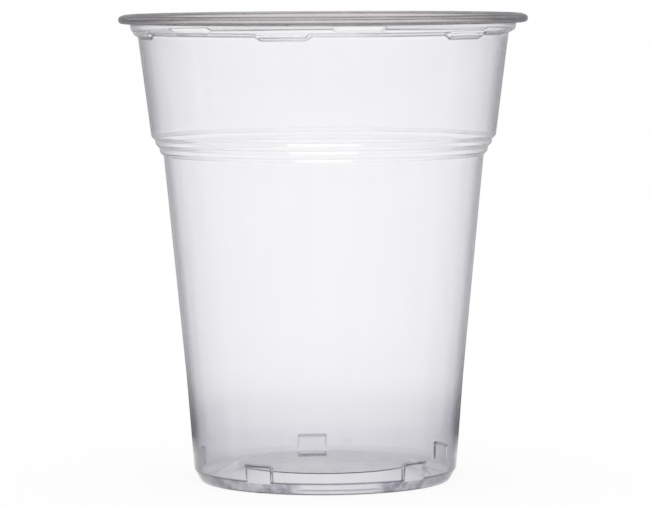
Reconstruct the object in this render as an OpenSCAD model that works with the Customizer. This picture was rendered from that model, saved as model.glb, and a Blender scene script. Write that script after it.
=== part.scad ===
// A clear disposable drinking cup, formed from one plastic sheet.
// The sheet is drawn as a path of corners along its outer skin, with a bend at each corner.
// The path starts at the free edge of the rolled rim and ends at the middle of the base.

/* [Overall] */
// Diameter across the rolled rim
rim_d = 94.5; // [92:0.5:100]
// Height of the cup
cup_h = 108; // [90:1:140]
// Thickness of the formed sheet
wall = 0.4; // [0.3:0.02:0.5]

/* [Rolled rim] */
// Height of the bead beside the neck
bead_h = 2.05; // [1.9:0.05:3]
// How far the top of the bead falls towards its outer end
bead_fall = 0.38; // [0:0.01:0.45]
// How far the bead stands out from the neck
bead_reach = 2.7; // [2.4:0.05:4]
// Gap between the rolled edge and the neck
lip_gap = 0.3; // [0.15:0.05:0.6]
// Inside radius of the bend from the neck into the bead
rim_bend = 0.5; // [0.3:0.05:0.7]
// Width of the level top of the bead beside the neck
crown_w = 1; // [0.9:0.05:1.4]

/* [Neck and stacking shoulder] */
// Height of the plain neck band under the bead
neck_h = 1.65; // [1.3:0.05:3]
// How far the shoulder steps in from the neck to the wall
shoulder_in = 1.55; // [1.3:0.05:2.6]
// How far the shoulder falls on its way in
shoulder_fall = 0.75; // [0.5:0.05:1.2]
// Inside radius of the bend at the outer corner of the shoulder
shoulder_bend = 0.7; // [0.2:0.05:0.8]
// Number of lowered places in the shoulder
notch_n = 6; // [3:1:9]
// How far a lowered place hangs below the shoulder
notch_drop = 0.9; // [0.6:0.05:1.5]
// Width of the flat bottom of a lowered place
notch_w = 10; // [7:0.5:13]
// Width of the ramp at each end of it
notch_ramp = 1.6; // [1:0.1:2.5]
// How far a lowered place stands back from the neck band
notch_back = 0.12; // [0.08:0.01:0.14]
// Bearing of the first lowered place, counted from the front
notch_bearing = -12; // [-30:1:30]

/* [Upper wall and ribs] */
// Draft angle of the neck and the upper wall
upper_draft = 7.2; // [5:0.1:9]
// Distance from the top of the cup down to the first rib
rib_from_top = 28; // [15:0.5:35]
// Number of stepped ribs
rib_n = 3; // [1:1:5]
// How far each rib steps in
rib_in = 0.87; // [0.5:0.01:1.1]
// Height of the sloping face of a rib
rib_fall = 0.9; // [0.8:0.05:2.4]
// Height of the band between two ribs
rib_band = 0.92; // [0.7:0.02:2]
// Inside radius of the bend above the sloping face of a rib
rib_round = 0.35; // [0.1:0.05:0.45]
// Inside radius of the bend below it, and of the shoulder's inner corner
rib_bend = 0.15; // [0.05:0.05:0.25]

/* [Lower wall] */
// Height at which the lower wall becomes steeper
heel_h = 25; // [15:0.5:40]
// Draft angle of the wall below that height
heel_draft = 4.3; // [3:0.1:5.5]

/* [Base] */
// Diameter of the wall at its lower corner
base_d = 61; // [58:0.2:63]
// Height of the chamfer between the foot and the wall
chamfer_h = 2.85; // [2.4:0.05:3.6]
// How far the chamfer steps in on its way down
chamfer_in = 1.6; // [1.2:0.05:2.2]
// Inside radius of the bend between the wall and the chamfer
heel_bend = 0.3; // [0.1:0.05:1]
// Width of the flat ring that the cup stands on
foot_w = 1.1; // [0.8:0.05:2]
// Inside radius of the bends of the foot and the raised panel
foot_bend = 0.2; // [0.1:0.05:0.4]
// Diameter of the raised panel in the base
panel_d = 40.8; // [36:0.2:44]
// Height of the underside of the raised panel
panel_h = 3.6; // [2.5:0.1:4.4]

/* [Stacking lugs] */
// Number of lugs pressed in above the base
lug_n = 5; // [3:1:8]
// Width of a lug
lug_w = 6.2; // [4:0.1:9]
// Height of the upper edge of a lug above the base
lug_top = 6.5; // [5.4:0.1:9]
// How far the ledge of a lug falls on its way in
lug_ledge = 0.55; // [0.3:0.05:0.8]
// How far the face of a lug stands in from the lower corner of the wall
lug_in = 0.45; // [0.35:0.05:0.8]
// Corner radius of a lug
lug_corner = 0.5; // [0.2:0.05:1]
// Bearing of the first lug, counted from the front
lug_bearing = -30; // [-36:1:36]

/* [Hidden] */
$fn = 128;
// Largest angle between two points of a bend
bend_step = 18;
// Spare length by which a cutting shape runs past what it cuts
spare = 2;

rim_r = rim_d / 2;
// Length of the bars that limit a notch or a lug, which stop short of the axis
bar_l = rim_r;
bead_low = cup_h - bead_h;
bead_end_top = cup_h - bead_fall;
// The two bends at the end of the bead make it a full round
curl_bend = (bead_end_top - bead_low) / 2 - wall;

neck_r = rim_r - bead_reach;
neck_end = bead_low - neck_h;
shoulder_r = neck_r - neck_h * tan(upper_draft);
shoulder_slope = atan(shoulder_fall / shoulder_in);
neck_top = [neck_r + (bead_h - wall) * tan(upper_draft), cup_h - wall, rim_bend];
crown = neck_top + [crown_w, 0, 0];
shoulder_out = [shoulder_r, neck_end, shoulder_bend];
shoulder_end = [shoulder_r - shoulder_in, neck_end - shoulder_fall, rib_bend];

rib_top = cup_h - rib_from_top;
rib_r = shoulder_end[0] - (shoulder_end[1] - rib_top) * tan(upper_draft);
rib_pitch = rib_fall + rib_band;
rib_pitch_in = rib_in + rib_band * tan(upper_draft);

base_r = base_d / 2;
heel = [base_r + (heel_h - chamfer_h) * tan(heel_draft), heel_h, 0];
wall_end = [base_r, chamfer_h, heel_bend];
foot_r = base_r - chamfer_in;

// Corners of the sheet's outer skin as [radius, height, inside radius of the bend]
rim_path = [
    [neck_r + lip_gap, bead_low + wall, 0],
    [rim_r - wall, bead_low + wall, curl_bend],
    [rim_r - wall, bead_end_top - wall, curl_bend],
    crown,
    neck_top
];
rib_path = [
    for (i = [0 : rib_n - 1], end = [0, 1])
        [
            rib_r - i * rib_pitch_in - end * rib_in,
            rib_top - i * rib_pitch - end * rib_fall,
            end == 0 ? rib_round : rib_bend
        ]
];
base_path = [
    wall_end,
    [foot_r, 0, foot_bend],
    [foot_r - foot_w, 0, foot_bend],
    [panel_d / 2, panel_h, foot_bend],
    [0, panel_h, 0]
];
sheet_path = concat(rim_path, [shoulder_out, shoulder_end], rib_path, [heel], base_path);

// Unit vector from one corner to the next
function way(from, to) =
    let (v = [to[0] - from[0], to[1] - from[1]])
    v / norm(v);

// Unit vector to the right of a direction, which is the side that holds the drink
function right_of(v) = [v[1], -v[0]];

function turned(v, angle) = [
    v[0] * cos(angle) - v[1] * sin(angle),
    v[0] * sin(angle) + v[1] * cos(angle)
];

// Points of one bend, moved inwards from the outer skin by the distance side
function bend(before, corner, after, side) =
    let (
        a = way(before, corner),
        b = way(corner, after),
        turn = atan2(cross(a, b), a * b),
        mitred = [corner[0], corner[1]] + side * (right_of(a) + right_of(b)) / (1 + a * b),
        radius = corner[2] + (turn > 0 ? side : wall - side),
        start = mitred - a * radius * tan(abs(turn) / 2),
        centre = start - right_of(a) * radius * sign(turn),
        steps = max(1, ceil(abs(turn) / bend_step))
    )
    corner[2] == 0
        ? [mitred]
        : [for (i = [0 : steps]) centre + turned(start - centre, turn * i / steps)];

// The whole skin of a path of corners, moved inwards from the outer skin by the distance side
function skin(path, side) =
    let (
        last = len(path) - 1,
        first_way = way(path[0], path[1]),
        last_way = way(path[last - 1], path[last])
    )
    concat(
        [[path[0][0], path[0][1]] + side * right_of(first_way)],
        [for (i = [1 : last - 1]) each bend(path[i - 1], path[i], path[i + 1], side)],
        [[path[last][0], path[last][1]] + side * right_of(last_way)]
    );

function reversed(list) = [for (i = [len(list) - 1 : -1 : 0]) list[i]];

function lowered(path, drop, back) = [for (p = path) [p[0] - back, p[1] - drop, p[2]]];

// The path between two skins, as a closed section
module section(outer, inner) {
    polygon(concat(outer, reversed(inner)));
}

// A bar that points outwards through the wall, with its end view drawn around the given place
module bar(r, height, slope = 0) {
    translate([r, 0, height])
        rotate([0, -slope, 0])
            translate([-bar_l / 2, 0, 0])
                rotate([90, 0, 90])
                    linear_extrude(height = bar_l)
                        children();
}

module around(count, bearing) {
    for (i = [0 : count - 1])
        rotate([0, 0, bearing - 90 + i * 360 / count])
            children();
}

// The neck from its middle down, the shoulder and the upper wall behind a lowered place
notch_up = neck_h / 2;
notch_down = notch_drop + spare;
notch_path = [
    shoulder_out + [notch_up * tan(upper_draft), notch_up, 0],
    shoulder_out,
    shoulder_end,
    shoulder_end - [notch_down * tan(upper_draft), notch_down, 0]
];
notch_shift = notch_drop * tan(upper_draft) + notch_back;
notch_skin = lowered(notch_path, notch_drop, notch_shift);
notch_depth = notch_drop * cos(shoulder_slope);
notch_ramp_angle = atan(notch_depth / notch_ramp);

// End view of a lowered place, moved into the sheet by the distance side
module notch_outline(side) {
    half = notch_w / 2 - side * tan(notch_ramp_angle / 2);
    polygon([
        [-half, side - spare],
        [half, side - spare],
        [half, side],
        [half + notch_ramp, side + notch_depth],
        [half + notch_ramp, side + notch_depth + spare],
        [-half - notch_ramp, side + notch_depth + spare],
        [-half - notch_ramp, side + notch_depth],
        [-half, side]
    ]);
}

module notch_bar(side) {
    bar(shoulder_end[0] - notch_shift, shoulder_end[1] - notch_drop, shoulder_slope)
        notch_outline(side);
}

// Plastic of a lowered place, from the middle of the sheet down to the lowered skin
module notch_block() {
    intersection() {
        rotate_extrude()
            section(skin(notch_path, wall / 2), skin(notch_skin, 0));
        notch_bar(0);
    }
}

// Room inside a lowered place, open to the inside of the cup
module notch_room() {
    inner = skin(notch_skin, wall);
    room_r = notch_skin[3][0] - wall - spare;
    intersection() {
        rotate_extrude()
            polygon(concat(inner, [[room_r, notch_skin[3][1]], [room_r, notch_skin[0][1]]]));
        notch_bar(wall);
    }
}

// Section of a lug: its ledge falls inwards from the wall and its face is upright
lug_face_r = base_r - lug_in;
lug_wall_r = base_r + (lug_top - chamfer_h) * tan(heel_draft);
lug_path = [
    [lug_wall_r + spare, lug_top + spare * lug_ledge / (lug_wall_r - lug_face_r), 0],
    [lug_face_r, lug_top - lug_ledge, 0],
    [lug_face_r, -spare, 0]
];
lug_wall_path = [heel, wall_end, [foot_r, 0, 0]];

// Everything outwards of the lug and below its ledge, moved inwards by the distance side
module lug_section(side) {
    polygon(concat(skin(lug_path, side), [[lug_wall_r + spare, -spare]]));
}

// Front view of a lug with rounded upper corners
module lug_outline(side) {
    half = lug_w / 2 + side;
    radius = lug_corner + side;
    top = lug_top + side;
    polygon(concat(
        [[-half, -spare], [half, -spare]],
        [for (a = [0 : bend_step : 90]) [half - radius, top - radius] + radius * [cos(a), sin(a)]],
        [for (a = [90 : bend_step : 180]) [radius - half, top - radius] + radius * [cos(a), sin(a)]]
    ));
}

// Plastic that backs a lug on the inside of the wall, from the middle of the sheet inwards
module lug_block() {
    inner_r = lug_face_r - wall - spare;
    intersection() {
        rotate_extrude()
            intersection() {
                lug_section(wall);
                polygon(concat(skin(lug_wall_path, wall / 2), [[inner_r, 0], [inner_r, heel_h]]));
            }
        bar(base_r, 0)
            lug_outline(wall);
    }
}

// The pocket that is open to the outside of the wall
module lug_pocket() {
    intersection() {
        rotate_extrude()
            lug_section(0);
        bar(base_r, 0)
            lug_outline(0);
    }
}

module cup() {
    color([0.84, 0.86, 0.9, 0.4])
        difference() {
            union() {
                rotate_extrude()
                    section(skin(sheet_path, 0), skin(sheet_path, wall));
                around(notch_n, notch_bearing)
                    notch_block();
                around(lug_n, lug_bearing)
                    lug_block();
            }
            around(notch_n, notch_bearing)
                notch_room();
            around(lug_n, lug_bearing)
                lug_pocket();
        }
}

cup();
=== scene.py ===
import math

import bpy
from mathutils import Matrix, Vector

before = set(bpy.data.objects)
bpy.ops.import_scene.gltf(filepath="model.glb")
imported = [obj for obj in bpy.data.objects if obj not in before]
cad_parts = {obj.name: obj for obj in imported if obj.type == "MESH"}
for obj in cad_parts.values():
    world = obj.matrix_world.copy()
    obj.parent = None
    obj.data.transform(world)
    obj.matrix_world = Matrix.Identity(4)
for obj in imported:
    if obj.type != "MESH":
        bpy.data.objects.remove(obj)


# Blender's default scene, where it is there
for name in ("Cube", "Light", "Camera"):
    leftover = bpy.data.objects.get(name)
    if leftover is not None:
        bpy.data.objects.remove(leftover, do_unlink=True)

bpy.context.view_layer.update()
scene = bpy.context.scene

# The cup is one CAD node and stays the visible piece. This script gives it its clear plastic, and adds the
# floor, the white room, the lamps and the camera. Lengths are in metres. Heights are above the ring that the
# cup stands on, and radii are from its axis.

# ---------------------------------------------------------------- sizes of the plastic and of the shade painted on it
HEIGHT = 0.108
BASE_RADIUS = 0.0294  # the raised base lies inside it and the wall outside
PANEL_RADIUS = 0.0203  # the flat panel in the base

IOR = 1.49
BEND_ROUGHNESS = 0.03
WALL_ROUGHNESS = 0.12  # what the tall upper wall has more than the bends
UPPER_WALL = (0.081, 0.083)  # where it begins and is full
UPPER_WALL_END = 0.1028

STREAKS = (240, 240, 32)  # noise cells to the metre, across the wall and down it
STREAK_LEAST, STREAK_SPAN = 0.7, 0.6

# Five lugs. Distances are to the side of a lug's middle.
LUG_BEARING, LUG_COUNT = -120, 5
LUG_HALF = 0.0034
LUG_TOP = 0.0066
# Painted shade: dark lines along each lug's ledge and flanks, fading where a flank turns away, at the cup's
# sides and at its back
LEDGE_LINE = (0.0064, 0.0005)  # height and half width
FLANK_LINE = (0.0033, 0.0003)  # distance and half width
FLANK_RISE = (0.0035, 0.0055)  # heights where it begins and is full
FLANK_REACH = 0.0015  # how much lower it begins on the outer skin
FAR_FLANK = (0.004, 0.012)  # distances from the middle plane over which the flank turned away fades
FAR_FLANK_LOSS = 0.8
PROFILE_FADE = (0.1, 0.8)  # shares of the radius that a lug lies ahead of the cup's side or behind it
BACK_LUG_LOSS = 0.7

# Six notches lower the shoulder
NOTCH_BEARING, NOTCH_COUNT = -102, 6
NOTCH_RAMP = (0.005, 0.0066)  # distances to the side of a notch's middle where its ramp begins and ends
NOTCH_DROP = 0.0009
# Painted shade: a dark line along the shoulder's inner corner, lighter at the middle of the front and back
SHOULDER_LINE = (0.10355, 0.0003)  # height and half width
SHOULDER_RADIUS = 0.0422
SHOULDER_MIDDLE = (0.007, 0.016)  # distances from the middle plane between which the line grows
SHOULDER_MIDDLE_LOSS = 0.6

RIM_RISE = (0.1055, 0.106)
# Painted shade lines along the curl of the rim and along the heel
CURL_LINE = (0.1063, 0.0007)
CURL_RADIUS = 0.0455
HEEL_LINE = (0.00275, 0.00035)
HEEL_RADIUS = 0.03025

# The chamfer, whose skin lies outside a cone, and the shade painted on it
CHAMFER_SLOPE, CHAMFER_RADIUS = 0.56, 0.0287
CHAMFER_TOP = 0.0027
# Noise that breaks the painted shade into patches
SHADE_NOISE_SCALE = 330.0
SHADE_NOISE_RANGE = (0.35, 0.7)
SHADE_LUG_REACH = (0.0075, 0.0105)  # distances from a lug over which the painted shade ends
SHADE_FACING = (0.34, 0.5)  # how edge-on the chamfer is where its painted shade begins again
BEND_LINE = (0.0012, 0.0004)

# Heights in mm and how deep the tint is there, against the plain wall: deeper at the rim's curl and darker
# towards the bottom, lighter on the ribs and the shoulder
DEPTH = (
    (0, 1.5),
    (0.6, 1.5),
    (0.8, 2.6),
    (2.7, 2.6),
    (3.1, 2.6),
    (7, 2.4),
    (9.5, 1.85),
    (14, 2.1),
    (18, 1.5),
    (23, 1.0),
    (75.0, 1.0),
    (75.4, 0.6),
    (80.0, 0.6),
    (80.4, 1.1),
    (102.6, 1.1),
    (103.0, 0.55),
    (104.9, 0.55),
    (105.5, 1.0),
    (106, 3.3),
    (108, 3.3),
)
DEPTH_UNIT = 4  # a ramp holds numbers up to one, so the depths are divided by it there
PANEL_DEPTH = 1.1  # what the panel adds

# ---------------------------------------------------------------- colours
# The plain wall's tint, from face-on to edge-on. Face-on it is the plastic's own; the deepening edge-on is
# painted shade that darkens the cup's outlines.
TINT_AND_EDGE_SHADE = (
    (0.0, (0.985, 0.985, 0.99)),
    (0.3, (0.966, 0.965, 0.971)),
    (0.5, (0.931, 0.93, 0.939)),
    (0.66, (0.863, 0.861, 0.875)),
    (0.84, (0.615, 0.61, 0.636)),
    (1.0, (0.305, 0.30, 0.325)),
)
RIM_TONE = (0.966, 0.957, 0.934)
# Painted shade: the tones below darken the lines and patches painted along the bends
CURL_TONE = (0.6, 0.6, 0.6)
HEEL_TONE = (0.25, 0.25, 0.29)
LUG_TONE = (0.4, 0.4, 0.45)
SHOULDER_TONE = (0.4, 0.4, 0.44)
CHAMFER_SHADE_TONE = (0.82, 0.82, 0.85)
PATCHY_SHADE_TONE = (0.42, 0.42, 0.47)
BEND_TONE = (0.55, 0.55, 0.6)

WHITE = (1, 1, 1)
FLOOR_COLOUR = (0.97, 0.97, 0.97)
ROOM_COLOUR = (0.42, 0.42, 0.44)
WORLD_STRENGTH = 0.98
OPEN_SHARE = 0.9  # how much of the floor's own white the camera sees; the rest is lit and holds the shadow

# The floor by distance from the cup's axis, seen through plastic and in a reflection: a painted pool of light
# at the middle and a painted shadow round the cup
FLOOR_SHADOW_THROUGH = (
    (0.0, WHITE),
    (0.022, WHITE),
    (0.030, (0.62, 0.62, 0.64)),
    (0.042, (0.62, 0.62, 0.64)),
    (0.055, (0.72, 0.72, 0.74)),
    (0.07, (0.78, 0.78, 0.80)),
    (0.115, (0.86, 0.86, 0.875)),
    (0.21, (0.965, 0.965, 0.97)),
    (0.37, WHITE),
    (1.0, WHITE),
)
FLOOR_SHADOW_MIRRORED = (
    (0.0, WHITE),
    (0.055, WHITE),
    (0.085, (0.10, 0.10, 0.11)),
    (0.15, (0.10, 0.10, 0.11)),
    (0.3, (0.36, 0.36, 0.38)),
    (0.5, (0.42, 0.42, 0.44)),
    (1.0, (0.42, 0.42, 0.44)),
)
# The backdrop from the horizon up to overhead
BACKDROP = (
    (0.0, WHITE),
    (0.25, WHITE),
    (0.55, (0.35, 0.35, 0.37)),
    (1.0, (0.3, 0.3, 0.32)),
)

# ---------------------------------------------------------------- floor, lamps and camera
FLOOR_HALF = 20

KEY_AT, KEY_AIM = Vector((0.0, -0.081, 0.767)), Vector((0, 0, 0.05))
KEY_SIZE, KEY_ENERGY = 0.4, 0.5
STRIP_AT = (0.0, -0.041, 0.0006)
STRIP_LENGTH, STRIP_WIDTH, STRIP_ENERGY = 0.05, 0.016, 0.0011
STRIP_SPREAD = math.radians(90)

EYE = Vector((0.00017, -0.890, 0.1209))
PITCH, ROLL = math.radians(4.394), math.radians(0.3)
SENSOR_MM = 36
FOCAL_PIXELS, IMAGE_PIXELS = 3850, 650
CLIP = (0.05, 60)

MAX_BOUNCES, SURFACE_BOUNCES = 40, 32


# ---------------------------------------------------------------- node helpers
def tree_of(owner):
    """The emptied node tree of a material or world."""
    owner.use_nodes = True
    tree = owner.node_tree
    tree.nodes.clear()
    return tree


def add(tree, kind, sockets=None, **values):
    """A new node with its attributes and its input sockets' values set."""
    node = tree.nodes.new(kind)
    for key, value in values.items():
        setattr(node, key, value)
    for key, value in (sockets or {}).items():
        node.inputs[key].default_value = value
    return node


def wire(tree, *pairs):
    """Links each source, which is a Value or a socket, to its target socket."""
    for source, target in pairs:
        tree.links.new(source.socket if isinstance(source, Value) else source, target)


def calc(operation, *terms, clamp=False):
    """The result of one Math node, whose terms are Values or plain numbers."""
    tree = next(term.socket.id_data for term in terms if isinstance(term, Value))
    node = add(tree, "ShaderNodeMath", operation=operation, use_clamp=clamp)
    for slot, term in zip(node.inputs, terms):
        if isinstance(term, Value):
            wire(tree, (term, slot))
        else:
            slot.default_value = term
    return Value(node.outputs[0])


class Value:
    """A number at each point of a surface. Arithmetic on it adds Math nodes to its tree, and a comparison
    gives one where it holds and nothing elsewhere."""

    def __init__(self, socket):
        self.socket = socket

    def __add__(self, other):
        return calc("ADD", self, other)

    def __sub__(self, other):
        return calc("SUBTRACT", self, other)

    def __rsub__(self, other):
        return calc("SUBTRACT", other, self)

    def __mul__(self, other):
        return calc("MULTIPLY", self, other)

    def __truediv__(self, other):
        return calc("DIVIDE", self, other)

    def __lt__(self, other):
        return calc("LESS_THAN", self, other)

    def __gt__(self, other):
        return calc("GREATER_THAN", self, other)

    def __abs__(self):
        return calc("ABSOLUTE", self)


def band(value, centre, half):
    """One at the centre, falling to nothing at the distance half from it."""
    return calc("SUBTRACT", 1, abs(value - centre) / half, clamp=True)


def grown(value, start, full):
    """Nothing up to the start, rising to one at the full value."""
    return calc("DIVIDE", value - start, full - start, clamp=True)


def multiplied(colour, share, by):
    """A colour socket's colour multiplied by another one, as far as the share says."""
    tree = colour.id_data
    node = add(tree, "ShaderNodeMix", data_type="RGBA", blend_type="MULTIPLY")
    colours = [socket for socket in node.inputs if socket.type == "RGBA"]
    colours[1].default_value = (*by, 1)
    wire(tree, (share, node.inputs[0]), (colour, colours[0]))
    return next(socket for socket in node.outputs if socket.type == "RGBA")


def mixed(tree, share, first, second):
    """The shader socket between two shaders, which is the second one where the share is one."""
    node = add(tree, "ShaderNodeMixShader")
    wire(tree, (share, node.inputs[0]), (first, node.inputs[1]), (second, node.inputs[2]))
    return node.outputs[0]


def ramp_of(tree, source, stops):
    """The colour socket of a ramp over the source, through stops that rise from 0 to 1."""
    node = add(tree, "ShaderNodeValToRGB")
    points = node.color_ramp.elements
    for point, (at, colour) in zip(points, (stops[0], stops[-1])):
        point.position, point.color = at, (*colour, 1)
    for at, colour in stops[1:-1]:
        points.new(at).color = (*colour, 1)
    wire(tree, (source, node.inputs["Fac"]))
    return node.outputs["Color"]


def shader(tree, kind, sockets=None, colour=None):
    """The output socket of a shader node, whose colour may come from a socket."""
    node = add(tree, kind, sockets)
    if colour is not None:
        wire(tree, (colour, node.inputs["Color"]))
    return node.outputs[0]


# ---------------------------------------------------------------- clear plastic
class Spot:
    """Where on the cup a point lies, for the nodes of one material."""

    def __init__(self, tree):
        self.place = add(tree, "ShaderNodeTexCoord").outputs["Object"]
        axes = add(tree, "ShaderNodeSeparateXYZ")
        wire(tree, (self.place, axes.inputs[0]))
        self.x, self.y, self.z = map(Value, axes.outputs)
        self.radius = calc("SQRT", self.x * self.x + self.y * self.y)
        self.wall = self.radius > BASE_RADIUS
        self.front = 1 - Value(add(tree, "ShaderNodeNewGeometry").outputs["Backfacing"])
        self.lug_side = self.beside(LUG_BEARING, LUG_COUNT)
        self.off_lug = abs(self.lug_side)

    def beside(self, bearing, count):
        """The signed distance to the side of the nearest of so many equal places round the cup."""
        turn = 2 * math.pi / count
        past = calc("ARCTAN2", self.y, self.x) - math.radians(bearing)
        return self.radius * calc("SINE", calc("WRAP", past, turn / 2, -turn / 2))


def tint_depth(tree, spot):
    """How deep the tint is, against the plain wall, by height and in the panel. The sheet is drawn unevenly,
    in streaks that run down the wall."""
    stops = [(at / (1000 * HEIGHT), (depth / DEPTH_UNIT,) * 3) for at, depth in DEPTH]
    more = Value(ramp_of(tree, spot.z / HEIGHT, stops)) * DEPTH_UNIT - 1
    depth = more * spot.wall + 1 + (spot.radius < PANEL_RADIUS) * PANEL_DEPTH

    stretched = add(tree, "ShaderNodeVectorMath", {1: STREAKS}, operation="MULTIPLY")
    streaks = add(tree, "ShaderNodeTexNoise", {"Scale": 1.0, "Detail": 3.0})
    wire(tree, (spot.place, stretched.inputs[0]), (stretched.outputs[0], streaks.inputs["Vector"]))
    return depth * (Value(streaks.outputs[0]) * STREAK_SPAN + STREAK_LEAST)


def lug_lines(spot):
    """Painted shade: dark lines along each lug's ledge and flanks. They fade at the cup's sides and at its
    back.
    """
    away = (spot.lug_side * spot.x * spot.y < 0) * grown(abs(spot.x), *FAR_FLANK)
    height = spot.z + spot.front * FLANK_REACH
    flank = band(spot.off_lug, *FLANK_LINE) * (spot.z < LUG_TOP)
    flank = flank * grown(height, *FLANK_RISE) * (1 - away * FAR_FLANK_LOSS)
    ledge = band(spot.z, *LEDGE_LINE) * (spot.off_lug < LUG_HALF)
    lines = calc("MAXIMUM", flank, ledge) * spot.wall
    return lines * grown(abs(spot.y) / spot.radius, *PROFILE_FADE) * (1 - (spot.y > 0) * BACK_LUG_LOSS)


def shoulder_line(spot):
    """Painted shade: the dark line along the shoulder's inner corner, which follows the notches down."""
    off_notch = abs(spot.beside(NOTCH_BEARING, NOTCH_COUNT))
    drop = (1 - grown(off_notch, *NOTCH_RAMP)) * NOTCH_DROP
    line = band(spot.z + drop, *SHOULDER_LINE) * spot.front * (spot.radius > SHOULDER_RADIUS)
    middle = 1 - grown(abs(spot.x), *SHOULDER_MIDDLE)
    return line * (1 - middle * SHOULDER_MIDDLE_LOSS)


def painted_chamfer_shade(tree, spot, edge_on):
    """Painted shade on the chamfer: where it turns edge-on and beside the lugs, patches of it broken up by
    noise, and a line along the bend elsewhere.
    """
    skirt = spot.radius - spot.z * CHAMFER_SLOPE
    near_or_clear = calc("MAXIMUM", spot.off_lug, spot.y * -1) > LUG_HALF
    chamfer = (skirt > CHAMFER_RADIUS) * (spot.z < CHAMFER_TOP) * spot.front * near_or_clear

    shade_noise = add(tree, "ShaderNodeTexNoise", {"Scale": SHADE_NOISE_SCALE, "Detail": 2.0})
    wire(tree, (spot.place, shade_noise.inputs["Vector"]))
    by_lug = 1 - grown(spot.off_lug, *SHADE_LUG_REACH)
    chamfer_shade = calc("MAXIMUM", by_lug, grown(edge_on, *SHADE_FACING))
    patchy_shade = chamfer_shade * grown(Value(shade_noise.outputs[0]), *SHADE_NOISE_RANGE)
    bend = calc("SUBTRACT", band(spot.z, *BEND_LINE), chamfer_shade, clamp=True)
    return [mark * chamfer for mark in (chamfer_shade, patchy_shade, bend)]


def clear_plastic():
    """A thin sheet that refracts and shines. Its tint deepens edge-on as painted shade, and painted shade
    lines lie along the tight bends."""
    mat = bpy.data.materials.new("clear_plastic_sheet")
    tree = tree_of(mat)
    spot = Spot(tree)
    edge_on = Value(add(tree, "ShaderNodeLayerWeight", {"Blend": 0.5}).outputs["Facing"])

    deep = add(tree, "ShaderNodeGamma")
    wire(
        tree,
        (ramp_of(tree, edge_on, TINT_AND_EDGE_SHADE), deep.inputs["Color"]),
        (tint_depth(tree, spot), deep.inputs["Gamma"]),
    )
    chamfer_shade, patchy_shade, bend = painted_chamfer_shade(tree, spot, edge_on)
    colour = deep.outputs["Color"]
    # The rim's own tone, then the painted shade: lines along the curl, the heel, the lugs and the shoulder,
    # and the chamfer's shade, patches and bend line
    for share, tone in (
        (grown(spot.z, *RIM_RISE), RIM_TONE),
        (band(spot.z, *CURL_LINE) * (spot.radius > CURL_RADIUS) * spot.front, CURL_TONE),
        (band(spot.z, *HEEL_LINE) * (spot.radius > HEEL_RADIUS) * spot.front, HEEL_TONE),
        (lug_lines(spot), LUG_TONE),
        (shoulder_line(spot), SHOULDER_TONE),
        (chamfer_shade, CHAMFER_SHADE_TONE),
        (patchy_shade, PATCHY_SHADE_TONE),
        (bend, BEND_TONE),
    ):
        colour = multiplied(colour, share, tone)
    through = shader(tree, "ShaderNodeBsdfRefraction", {"IOR": IOR, "Roughness": 0.0}, colour)

    # The tall upper wall is a little duller than the tight bends
    shine = add(tree, "ShaderNodeBsdfGlossy", {"Color": (*WHITE, 1)})
    dull = grown(spot.z, *UPPER_WALL) * (spot.z < UPPER_WALL_END)
    wire(tree, (dull * WALL_ROUGHNESS + BEND_ROUGHNESS, shine.inputs["Roughness"]))

    fresnel = add(tree, "ShaderNodeFresnel", {"IOR": IOR})
    out = add(tree, "ShaderNodeOutputMaterial")
    surface = mixed(tree, fresnel.outputs[0], through, shine.outputs[0])
    wire(tree, (surface, out.inputs["Surface"]))
    return mat


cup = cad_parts["cup"]
cup.material_slots[0].material = clear_plastic()


# ---------------------------------------------------------------- floor and room
def rays(tree):
    """Values that are one for a ray from the camera, for one from the camera or through plastic, and for
    a reflection alone."""
    path = add(tree, "ShaderNodeLightPath")
    kinds = ("Is Camera Ray", "Is Transmission Ray", "Is Glossy Ray")
    camera_ray, passed, glossy = (Value(path.outputs[kind]) for kind in kinds)
    return camera_ray, calc("MAXIMUM", camera_ray, passed), calc("SUBTRACT", glossy, passed, clamp=True)


def floor_surface():
    """A white floor that keeps the cup's shadow. Through plastic and in reflections it shows a painted pool
    of light round the axis and a painted shadow round the cup.
    """
    mat = bpy.data.materials.new("floor")
    tree = tree_of(mat)
    camera_ray, open_ray, mirrored = rays(tree)
    place = add(tree, "ShaderNodeTexCoord")
    far = add(tree, "ShaderNodeVectorMath", operation="LENGTH")
    wire(tree, (place.outputs["Object"], far.inputs[0]))
    distance = far.outputs["Value"]

    plain = {"Strength": 1.0}
    # Painted light and shadow: white near the axis and darker round the cup, seen through plastic and in
    # reflections
    through = shader(tree, "ShaderNodeEmission", plain, ramp_of(tree, distance, FLOOR_SHADOW_THROUGH))
    mirror = shader(tree, "ShaderNodeEmission", plain, ramp_of(tree, distance, FLOOR_SHADOW_MIRRORED))
    white = shader(tree, "ShaderNodeEmission", {"Color": (*WHITE, 1), **plain})
    lit = shader(tree, "ShaderNodeBsdfDiffuse", {"Color": (*FLOOR_COLOUR, 1)})

    straight = mixed(tree, camera_ray, through, white)
    shaded = mixed(tree, open_ray * OPEN_SHARE, lit, straight)
    out = add(tree, "ShaderNodeOutputMaterial")
    wire(tree, (mixed(tree, mirrored, shaded, mirror), out.inputs["Surface"]))
    return mat


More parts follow.
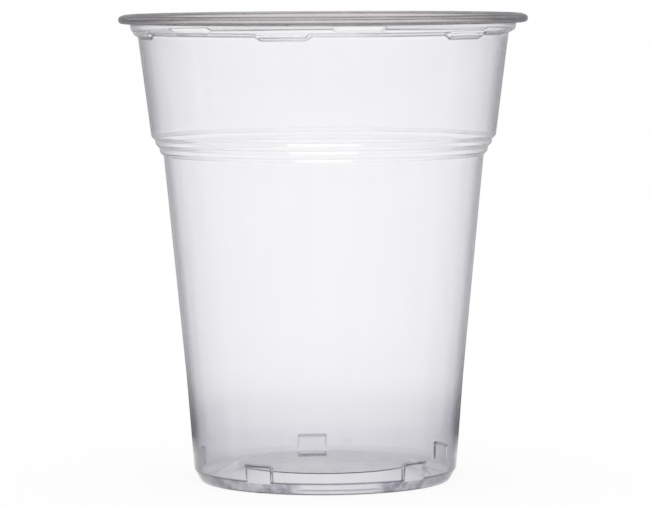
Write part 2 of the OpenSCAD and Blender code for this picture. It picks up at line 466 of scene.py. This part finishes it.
def studio():
    """A world that lights evenly, is white behind the cup and mirrors as a grey room."""
    world = bpy.data.worlds.new("studio")
    tree = tree_of(world)
    open_ray, mirrored = rays(tree)[1:]
    direction = add(tree, "ShaderNodeTexCoord")
    split = add(tree, "ShaderNodeSeparateXYZ")
    wire(tree, (direction.outputs["Generated"], split.inputs[0]))
    backdrop = ramp_of(tree, split.outputs["Z"], BACKDROP)

    light = shader(tree, "ShaderNodeBackground", {"Color": (*WHITE, 1), "Strength": WORLD_STRENGTH})
    back = shader(tree, "ShaderNodeBackground", {"Strength": 1.0}, backdrop)
    room = shader(tree, "ShaderNodeBackground", {"Color": (*ROOM_COLOUR, 1), "Strength": 1.0})
    out = add(tree, "ShaderNodeOutputWorld")
    seen = mixed(tree, open_ray, light, back)
    wire(tree, (mixed(tree, mirrored, seen, room), out.inputs["Surface"]))
    return world


mesh = bpy.data.meshes.new("floor")
square = [(-1, -1), (1, -1), (1, 1), (-1, 1)]
mesh.from_pydata([(x * FLOOR_HALF, y * FLOOR_HALF, 0) for x, y in square], [], [(0, 1, 2, 3)])
mesh.materials.append(floor_surface())
floor = bpy.data.objects.new("floor", mesh)
scene.collection.objects.link(floor)
scene.world = studio()


# ---------------------------------------------------------------- lamps
def area_lamp(name, place, **values):
    """An area lamp that shines straight down until it is turned."""
    lamp = bpy.data.lights.new(name, "AREA")
    for key, value in values.items():
        setattr(lamp, key, value)
    holder = bpy.data.objects.new(name, lamp)
    holder.location = place
    scene.collection.objects.link(holder)
    return holder


key = area_lamp("key", KEY_AT, shape="SQUARE", size=KEY_SIZE, energy=KEY_ENERGY)
key.rotation_mode = "QUATERNION"
key.rotation_quaternion = (KEY_AIM - KEY_AT).to_track_quat("-Z", "Y")
key.visible_glossy = False

# A low strip in front of the foot shines up, and only reflections show it: the bars on the near ribs
strip = area_lamp(
    "strip",
    STRIP_AT,
    shape="RECTANGLE",
    size=STRIP_LENGTH,
    size_y=STRIP_WIDTH,
    energy=STRIP_ENERGY,
    spread=STRIP_SPREAD,
)
strip.rotation_euler = (math.pi, 0, 0)
strip.visible_camera = strip.visible_diffuse = strip.visible_transmission = False

# ---------------------------------------------------------------- camera
forward = Vector((0, math.cos(PITCH), -math.sin(PITCH)))
level = forward.cross(Vector((0, 0, 1))).normalized()
upright = level.cross(forward)
right = level * math.cos(ROLL) - upright * math.sin(ROLL)
up = upright * math.cos(ROLL) + level * math.sin(ROLL)

camera_data = bpy.data.cameras.new("camera")
camera_data.sensor_width = SENSOR_MM
camera_data.lens = FOCAL_PIXELS * SENSOR_MM / IMAGE_PIXELS
camera_data.clip_start, camera_data.clip_end = CLIP
camera = bpy.data.objects.new("camera", camera_data)
camera.matrix_world = Matrix((
    (right.x, up.x, -forward.x, EYE.x),
    (right.y, up.y, -forward.y, EYE.y),
    (right.z, up.z, -forward.z, EYE.z),
    (0, 0, 0, 1),
))
scene.collection.objects.link(camera)
scene.camera = camera

scene.view_settings.view_transform = "Standard"
scene.cycles.max_bounces = MAX_BOUNCES
scene.cycles.transmission_bounces = SURFACE_BOUNCES
scene.cycles.glossy_bounces = SURFACE_BOUNCES
